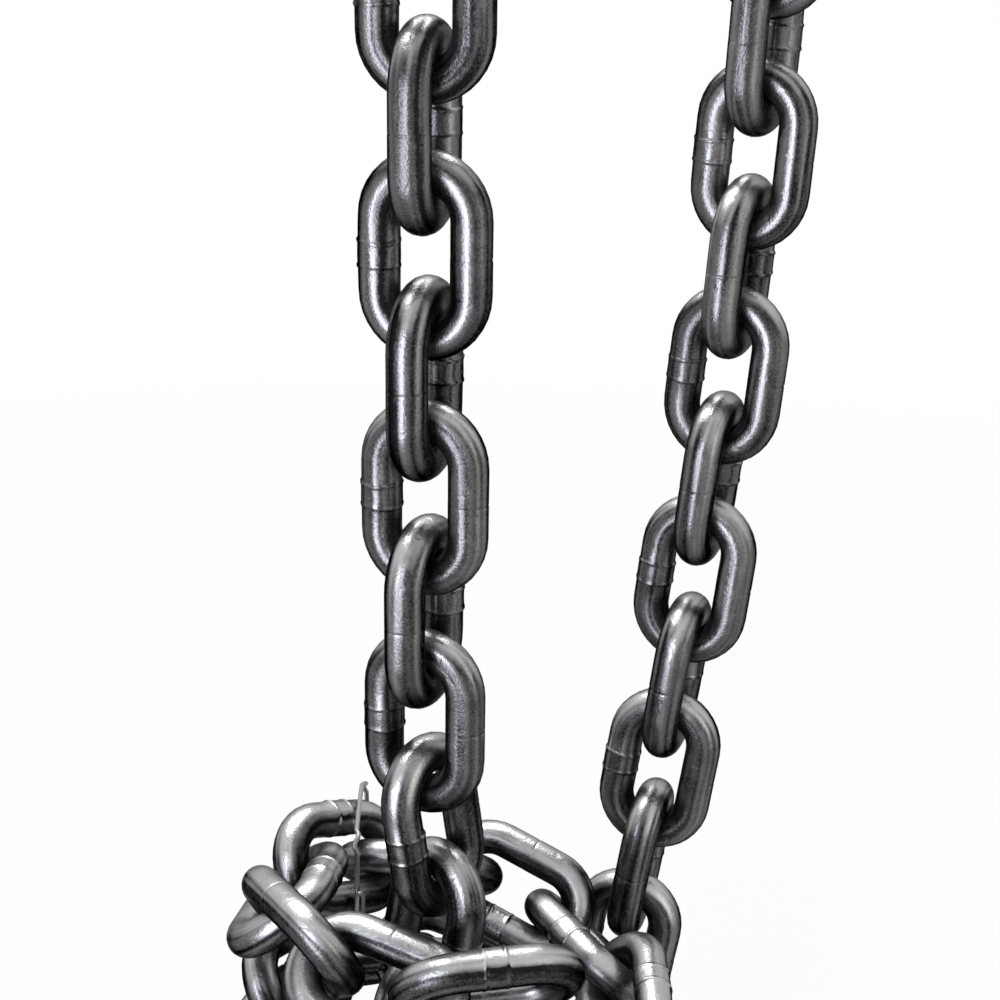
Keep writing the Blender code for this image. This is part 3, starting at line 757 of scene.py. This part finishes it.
def clevis_mesh(sizes):
    """Clevis: two ears beside the slot for the chain, and the neck above, as a thick plate."""
    inner = sizes.slot / 2
    outer = inner + sizes.ear
    foot = -sizes.pin / 2 - sizes.ear_wall
    top = sizes.neck + sizes.rounding
    right = [(inner, sizes.roof), (inner, foot), (outer, foot), (outer, (sizes.roof + top) / 2),
             (sizes.shank_body / 2 + sizes.rounding, top)]
    outline = right + [(-x, z) for x, z in reversed(right)]
    shape = bmesh.new()
    face = shape.faces.new([shape.verts.new((x, -sizes.depth / 2, z)) for x, z in outline])
    grown = bmesh.ops.extrude_face_region(shape, geom=[face])["geom"]
    moved = [part for part in grown if isinstance(part, bmesh.types.BMVert)]
    bmesh.ops.translate(shape, verts=moved, vec=(0.0, sizes.depth, 0.0))
    bmesh.ops.recalc_face_normals(shape, faces=shape.faces)
    mesh = bpy.data.meshes.new("clevis")
    shape.to_mesh(mesh)
    shape.free()
    return mesh


def rod_mesh(name, middle, direction, reach, thickness):
    """Plain round cutter for a bore or a face."""
    half = direction * reach / 2
    return tube_mesh(name, [(middle - half, 1.0), (middle + half, 1.0)], thickness, 2 * AROUND)


def pin_mesh(name, reach, thickness):
    """Turned pin along X with a chamfer and a centre mark at each end."""
    chamfer = thickness / PIN_CHAMFER_PART
    end = -reach / 2
    profile = [(end + chamfer / 2, PIN_MARK_FLOOR), (end, PIN_MARK_EDGE), (end, PIN_FLAT_EDGE),
               (end + chamfer, 1.0), (end + 2 * chamfer, 1.0)]
    profile += [(-x, factor) for x, factor in reversed(profile)]
    turns = [2 * pi * i / (2 * AROUND) for i in range(2 * AROUND)]
    rings = []
    for x, factor in profile:
        radius = thickness / 2 * factor
        rings.append([Vector((x, radius * cos(turn), radius * sin(turn))) for turn in turns])
    return skin(name, rings, False)


def applied(maker, name):
    """Mesh of an object with its modifiers applied. The object itself is removed."""
    depsgraph = bpy.context.evaluated_depsgraph_get()
    mesh = bpy.data.meshes.new_from_object(maker.evaluated_get(depsgraph))
    mesh.name = name
    bpy.data.objects.remove(maker)
    return mesh


def forging(name, base, joined, cuts, rounding, skin_size):
    """Join and cut meshes, then give the whole a forged skin with soft edges."""
    maker = bpy.data.objects.new(name, base)
    bpy.context.scene.collection.objects.link(maker)
    bevel = maker.modifiers.new("rounding", "BEVEL")
    bevel.width = rounding
    bevel.segments = 3
    helpers = []
    for operation, meshes in (("UNION", joined), ("DIFFERENCE", cuts)):
        for mesh in meshes:
            helper = bpy.data.objects.new(mesh.name, mesh)
            bpy.context.scene.collection.objects.link(helper)
            helpers.append(helper)
            change = maker.modifiers.new(mesh.name, "BOOLEAN")
            change.operation = operation
            change.object = helper
            change.solver = "EXACT"
    remesh = maker.modifiers.new("skin", "REMESH")
    remesh.mode = "VOXEL"
    remesh.voxel_size = skin_size
    remesh.use_smooth_shade = True
    smooth = maker.modifiers.new("soft_edges", "SMOOTH")
    smooth.factor = 0.5
    smooth.iterations = 5
    mesh = applied(maker, name)
    for helper in helpers:
        bpy.data.objects.remove(helper)
    mesh.materials.clear()
    return mesh


def softened(name, node_name, edge):
    """Copy of a CAD node's mesh with its flat faces made whole and its edges rounded."""
    mesh = frame["nodes"][node_name].data.copy()
    mesh.materials.clear()
    shape = bmesh.new()
    shape.from_mesh(mesh)
    bmesh.ops.remove_doubles(shape, verts=shape.verts, dist=SAME_POINT)
    bmesh.ops.dissolve_limit(shape, angle_limit=FLAT_ANGLE, verts=shape.verts, edges=shape.edges)
    for face in shape.faces:
        face.smooth = True
    shape.to_mesh(mesh)
    shape.free()
    maker = bpy.data.objects.new(name, mesh)
    bpy.context.scene.collection.objects.link(maker)
    bevel = maker.modifiers.new("edges", "BEVEL")
    bevel.width = edge
    bevel.segments = 2
    bevel.limit_method = "ANGLE"
    bevel.angle_limit = EDGE_ANGLE
    bevel.harden_normals = True
    return applied(maker, name)


def wire_path(sizes):
    """Loop of the binding wire, from the CAD box of its node, with its two ends out in front.

    The loop was bent by hand, so it waves a little.
    """
    low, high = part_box("binding_wire")
    half = sizes.wire / 2
    front, back = low.y + sizes.wire_tail + half / 2, high.y - half
    bottom, top = low.z + half, high.z - half
    middle = (bottom + top) / 2
    corner = sizes.wire_corner
    loop = [(front - sizes.wire_tail / 2, middle - sizes.wire_tail), (front, middle)]
    corners = ((front, top, pi), (back, top, pi / 2), (back, bottom, 0.0), (front, bottom, -pi / 2))
    for y, z, begin in corners:
        y += copysign(corner, front + back - 2 * y)
        z += copysign(corner, bottom + top - 2 * z)
        for step in range(CORNER_STEPS + 1):
            angle = begin - pi / 2 * step / CORNER_STEPS
            loop.append((y + corner * cos(angle), z + corner * sin(angle)))
    loop += [(front, middle), (front - sizes.wire_tail, middle + sizes.wire_tail / 2)]
    path = []
    for step, (start, end) in enumerate(zip(loop, loop[1:])):
        pieces = max(1, round((Vector(end) - Vector(start)).length / sizes.wire))
        for piece in range(pieces):
            y, z = Vector(start).lerp(Vector(end), piece / pieces)
            done = (step + piece / pieces) / (len(loop) - 1)
            x = low.x + half + (high.x - low.x - sizes.wire) * done
            x += sizes.wire_wave * sin(WIRE_WAVES * done)
            path.append((Vector((x, y, z)), 1.0))
    path.append((Vector((high.x - half, *loop[-1])), 1.0))
    return path


def lay_floor(scene, stage):
    """Lay a wide floor just below the lowest link."""
    reach = stage.floor_reach
    mesh = bpy.data.meshes.new("floor")
    corners = [(-reach, -reach, 0.0), (reach, -reach, 0.0), (reach, reach, 0.0),
               (-reach, reach, 0.0)]
    mesh.from_pydata(corners, [], [(0, 1, 2, 3)])
    floor = bpy.data.objects.new("floor", mesh)
    floor.location.z = CAD_BOX[0].z - stage.floor_gap
    scene.collection.objects.link(floor)
    mesh.materials.append(finish("floor"))


def hang_lamps(scene):
    """Hang the lamps, each turned to the middle of the part."""
    middle = (CAD_BOX[0] + CAD_BOX[1]) / 2
    for name, place, size, power, code in LAMPS:
        data = bpy.data.lights.new(name, "AREA")
        data.shape = "RECTANGLE"
        data.size, data.size_y = size
        data.energy = power
        data.color = to_linear(code)[:3]
        lamp = bpy.data.objects.new(name, data)
        scene.collection.objects.link(lamp)
        lamp.location = place
        lamp.rotation_euler = (middle - Vector(place)).to_track_quat("-Z", "Y").to_euler()


def make_world(scene):
    """Surround the part with plain white that gives little light of its own."""
    world = bpy.data.worlds.new("studio")
    world.use_nodes = True
    tree = world.node_tree
    tree.nodes.clear()
    dim = node(tree, "ShaderNodeBackground", {"Color": WHITE, "Strength": WORLD_LIGHT})
    white = node(tree, "ShaderNodeBackground", {"Color": WHITE, "Strength": WORLD_SEEN})
    mixed = node(tree, "ShaderNodeMixShader",
                 {0: backdrop_rays(tree), 1: dim.outputs[0], 2: white.outputs[0]})
    node(tree, "ShaderNodeOutputWorld", {"Surface": mixed.outputs[0]})
    scene.world = world


def set_camera(scene, stage):
    """Look at the part as the photo does."""
    data = bpy.data.cameras.new("photo_view")
    data.sensor_width = SENSOR_WIDTH
    data.lens = stage.lens
    data.clip_start, data.clip_end = CLIP_NEAR, CLIP_FAR
    camera = bpy.data.objects.new("photo_view", data)
    scene.collection.objects.link(camera)
    camera.location = stage.eye
    pitch, roll, yaw = stage.turn
    aim = Euler((pitch, 0.0, yaw)).to_quaternion()
    camera.rotation_mode = "QUATERNION"
    camera.rotation_quaternion = aim @ Euler((0.0, 0.0, roll)).to_quaternion()
    scene.camera = camera


class SLING_OT_chain(bpy.types.Operator):
    """Lay a smooth welded link over every chain link of the frame"""

    bl_idname = "sling.chain"
    bl_label = "Chain links"

    def execute(self, context):
        sizes = context.scene.sling_sizes
        bend = (sizes.inside_width + sizes.bar) / 2
        straight = sizes.inside_length + sizes.bar - 2 * bend
        weld = (sizes.weld_length, sizes.weld_swell)
        shapes = [
            link_mesh(f"chain_link_shape_{i + 1}", sizes.bar, sizes.inside_length,
                      sizes.inside_width, weld, i)
            for i in range(LINK_SHAPES)
        ]
        for index, name in enumerate(CHAIN_NODES):
            matrix = link_matrix(name, straight / 2)
            put(f"{name}_welded", shapes[index % LINK_SHAPES], matrix, "chain", body_of(name),
                "chain_steel", name)
        return {"FINISHED"}


class SLING_OT_top_links(bpy.types.Operator):
    """Make the master link and the joining link"""

    bl_idname = "sling.top_links"
    bl_label = "Master and joining link"

    def execute(self, context):
        sizes = context.scene.sling_sizes
        weld = (2 * sizes.weld_length, sizes.weld_swell / 2)
        mesh = link_mesh("master_link_forging", sizes.master_bar, sizes.master_length,
                         sizes.master_width, weld)
        put("master_link_forging", mesh, link_matrix("master_link"), "forged",
            body_of("master_link"), "forged_steel", "master_link")
        mesh = link_mesh("joining_link_forging", sizes.joining_bar, sizes.joining_length,
                         sizes.joining_width, weld, 2)
        put("joining_link_forging", mesh, link_matrix("joining_link"), "forged",
            body_of("joining_link"), "forged_steel", "joining_link")
        return {"FINISHED"}


class SLING_OT_hook_forging(bpy.types.Operator):
    """Forge the hook body with its clevis, bores and latch lug"""

    bl_idname = "sling.hook_forging"
    bl_label = "Hook body"

    def execute(self, context):
        sizes = context.scene.sling_hook
        along_x, along_y = Vector((1.0, 0.0, 0.0)), Vector((0.0, 1.0, 0.0))
        pivot = latch_pivot(sizes)
        width = sizes.slot + 2 * sizes.ear
        gap = 2 * sizes.clearance
        cuts = [
            rod_mesh("load_pin_bore", Vector(), along_x, 2 * width, sizes.pin + gap),
            rod_mesh("latch_pin_bore", pivot, along_y, 2 * width, sizes.latch_pin + gap),
        ]
        for side in (1, -1):
            middle = pivot + along_y * side * (sizes.bowl_body + sizes.lug) / 2
            cut = rod_mesh("lug_face", middle, along_y, sizes.bowl_body, 2 * sizes.lug_radius)
            cuts.append(cut)
        mesh = forging("hook_forging", clevis_mesh(sizes), [hook_bar(sizes)], cuts,
                       sizes.rounding, sizes.skin)
        put("hook_forging", mesh, hook_matrix(), "forged", body_of("hook_body"),
            "forged_steel", "hook_body")
        return {"FINISHED"}


class SLING_OT_pins(bpy.types.Operator):
    """Turn the load pin and the latch pin"""

    bl_idname = "sling.pins"
    bl_label = "Pins"

    def execute(self, context):
        sizes = context.scene.sling_hook
        reach = sizes.slot + 2 * sizes.ear + 2 * sizes.pin_overhang
        mesh = pin_mesh("load_pin_turned", reach, sizes.pin)
        put("load_pin_turned", mesh, hook_matrix(), "turned", body_of("load_pin"),
            "pin_steel", "load_pin")
        reach = sizes.latch_width + 2 * sizes.latch_overhang
        mesh = pin_mesh("latch_pin_turned", reach, sizes.latch_pin)
        matrix = hook_matrix() @ Matrix.Translation(latch_pivot(sizes))
        matrix = matrix @ Matrix.Rotation(pi / 2, 4, "Z")
        put("latch_pin_turned", mesh, matrix, "turned", body_of("latch_pin"),
            "pin_steel", "latch_pin")
        return {"FINISHED"}


class SLING_OT_latch(bpy.types.Operator):
    """Press the latch from sheet and wind its spring"""

    bl_idname = "sling.latch"
    bl_label = "Latch and spring"

    def execute(self, context):
        sizes = context.scene.sling_hook
        mesh = softened("latch_pressed", "latch", SHEET_EDGE)
        put("latch_pressed", mesh, Matrix(), "plated", body_of("latch"), "latch_steel", "latch")
        radius = sizes.latch_pin / 2 + sizes.clearance + sizes.spring / 2
        start = sizes.lug / 2 + sizes.clearance + sizes.spring / 2
        path = []
        for step in range(SPRING_TURNS * SPRING_STEPS + 1):
            angle = 2 * pi * step / SPRING_STEPS
            side = start + sizes.spring_pitch * step / SPRING_STEPS
            path.append((Vector((radius * cos(angle), side, radius * sin(angle))), 1.0))
        leg = Vector((0.0, 0.0, sizes.spring_leg))
        path = [(path[0][0] - leg, 1.0)] + path + [(path[-1][0] + leg, 1.0)]
        mesh = tube_mesh("latch_spring_wound", path, sizes.spring, SPRING_AROUND)
        matrix = hook_matrix() @ Matrix.Translation(latch_pivot(sizes))
        put("latch_spring_wound", mesh, matrix, "wire", body_of("latch_spring"),
            "wire_steel", "latch_spring")
        return {"FINISHED"}


class SLING_OT_wire(bpy.types.Operator):
    """Bend the binding wire around the heap"""

    bl_idname = "sling.wire"
    bl_label = "Binding wire"

    def execute(self, context):
        sizes = context.scene.sling_sizes
        mesh = tube_mesh("binding_wire_bent", wire_path(sizes), sizes.wire, WIRE_AROUND)
        put("binding_wire_bent", mesh, Matrix(), "wire", body_of("binding_wire"),
            "wire_steel", "binding_wire")
        return {"FINISHED"}


class SLING_OT_stage(bpy.types.Operator):
    """Set up the floor, the lamps, the white surroundings and the camera"""

    bl_idname = "sling.stage"
    bl_label = "Stage"

    def execute(self, context):
        scene = context.scene
        lay_floor(scene, scene.sling_stage)
        hang_lamps(scene)
        make_world(scene)
        scene.view_settings.view_transform = "Standard"
        set_camera(scene, scene.sling_stage)
        return {"FINISHED"}


class SLING_PT_panel(bpy.types.Panel):
    """Sizes, colours and steps of the sling"""

    bl_idname = "SLING_PT_panel"
    bl_label = "Chain Sling"
    bl_space_type = "VIEW_3D"
    bl_region_type = "UI"
    bl_category = "Chain Sling"

    def draw(self, context):
        layout = self.layout
        for group_name, group in GROUPS.items():
            for name in group.__annotations__:
                layout.prop(getattr(context.scene, group_name), name)
        for step in STEPS:
            layout.operator(step.bl_idname)


STEPS = (SLING_OT_stage, SLING_OT_chain, SLING_OT_top_links, SLING_OT_hook_forging, SLING_OT_pins,
         SLING_OT_latch, SLING_OT_wire)
GROUPS = {"sling_sizes": ChainSizes, "sling_hook": HookSizes, "sling_colours": SteelColours,
          "sling_stage": StageSizes}
CLASSES = (*GROUPS.values(), *STEPS, SLING_PT_panel)


def register():
    """Add the classes and the sling's settings."""
    for each in CLASSES:
        bpy.utils.register_class(each)
    for name, group in GROUPS.items():
        setattr(bpy.types.Scene, name, PointerProperty(type=group))


def unregister():
    """Take the classes and the settings away again."""
    for name in GROUPS:
        delattr(bpy.types.Scene, name)
    for each in reversed(CLASSES):
        bpy.utils.unregister_class(each)


def main():
    """Dress the frame."""
    register()
    bpy.ops.sling.stage()
    bpy.ops.sling.chain()
    bpy.ops.sling.top_links()
    bpy.ops.sling.hook_forging()
    bpy.ops.sling.pins()
    bpy.ops.sling.latch()
    bpy.ops.sling.wire()


if __name__ == "__main__":
    main()
